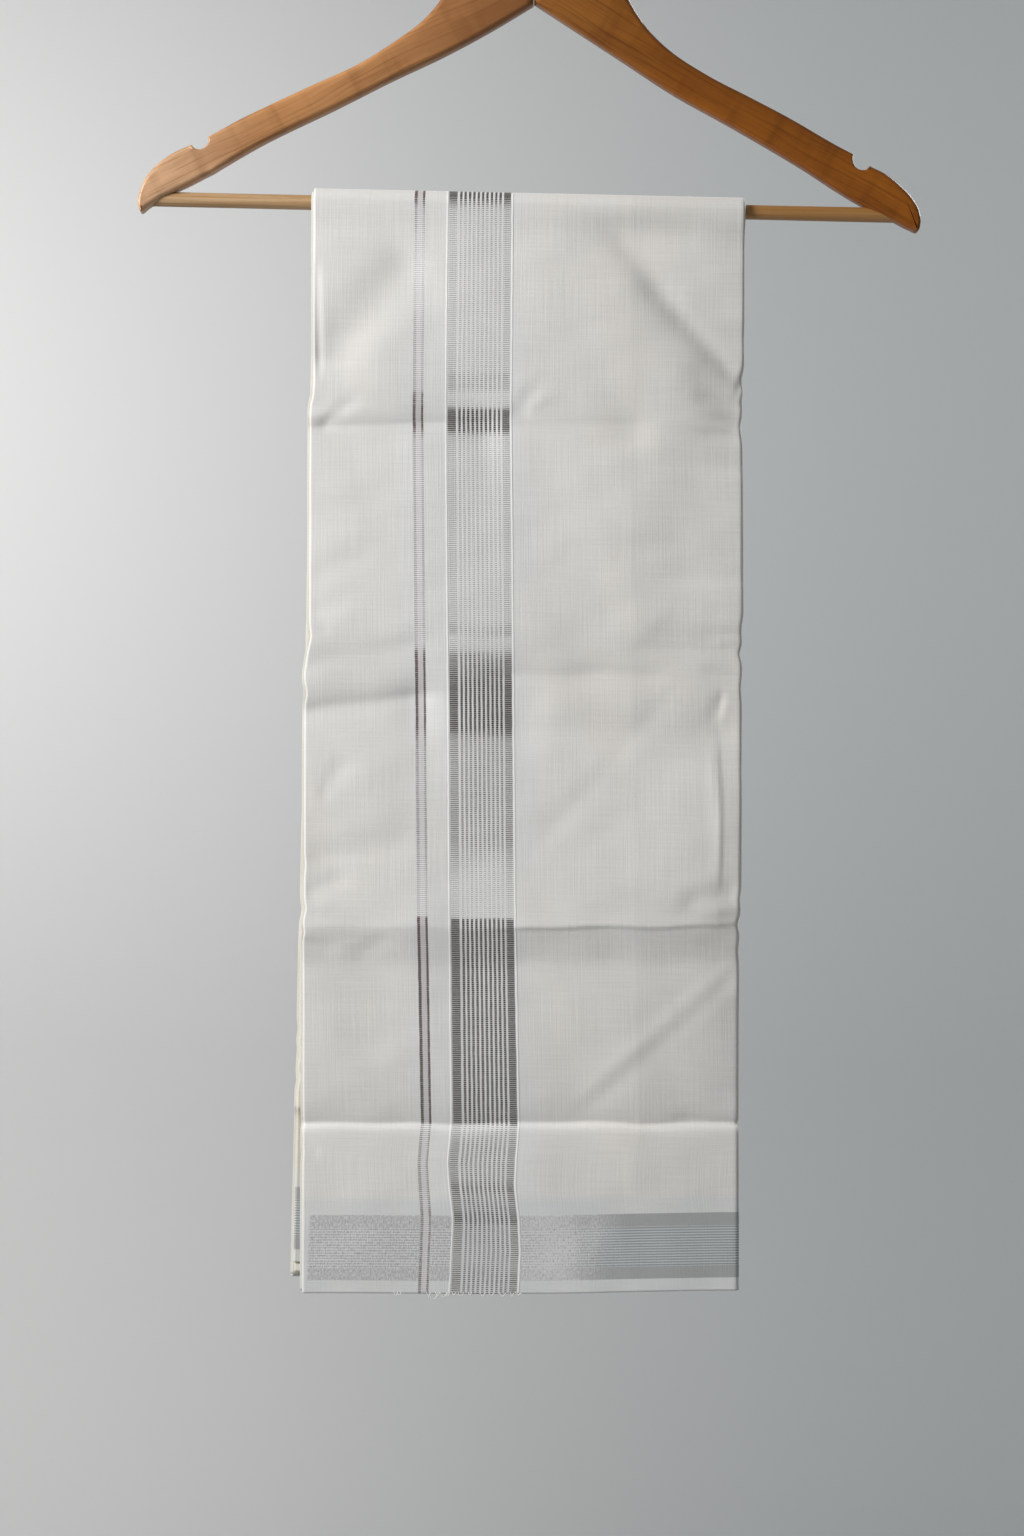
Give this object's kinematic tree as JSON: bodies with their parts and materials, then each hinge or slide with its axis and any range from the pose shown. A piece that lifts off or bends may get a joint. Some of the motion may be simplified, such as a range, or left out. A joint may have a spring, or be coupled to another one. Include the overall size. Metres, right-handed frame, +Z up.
{
  "type": "folded dhoti cloth on a wooden clothes hanger",
  "caption": "Long white woven cloth with silver borders, folded into a narrow stack and hung over the bar of a wooden clothes hanger with a wire hook.",
  "frame": {"origin": "the inside top of the hook, where a rail carries the hanger", "axes": "+Z up, the cloth's front faces -Y, and +X is to the right seen from the front, along the hanger's bar"},
  "size_m": [0.4456, 0.0257, 0.8515],
  "materials": {
    "cloth": "off-white plain weave cotton with woven silver borders, soft sheen",
    "hidden_cloth": "the same cotton, in the stack's shade",
    "varnished_wood": "orange-brown wood under gloss varnish",
    "pale_wood": "pale satin wood",
    "steel": "bright steel wire"
  },
  "bodies": {
    "root": {"dhoti_outer_length": "cloth", "dhoti_hidden_layers": "hidden_cloth", "hanger_arm_left": "varnished_wood", "hanger_arm_right": "varnished_wood", "hanger_bar": "pale_wood", "hanger_hook": "steel"}
  },
  "joints": []
}
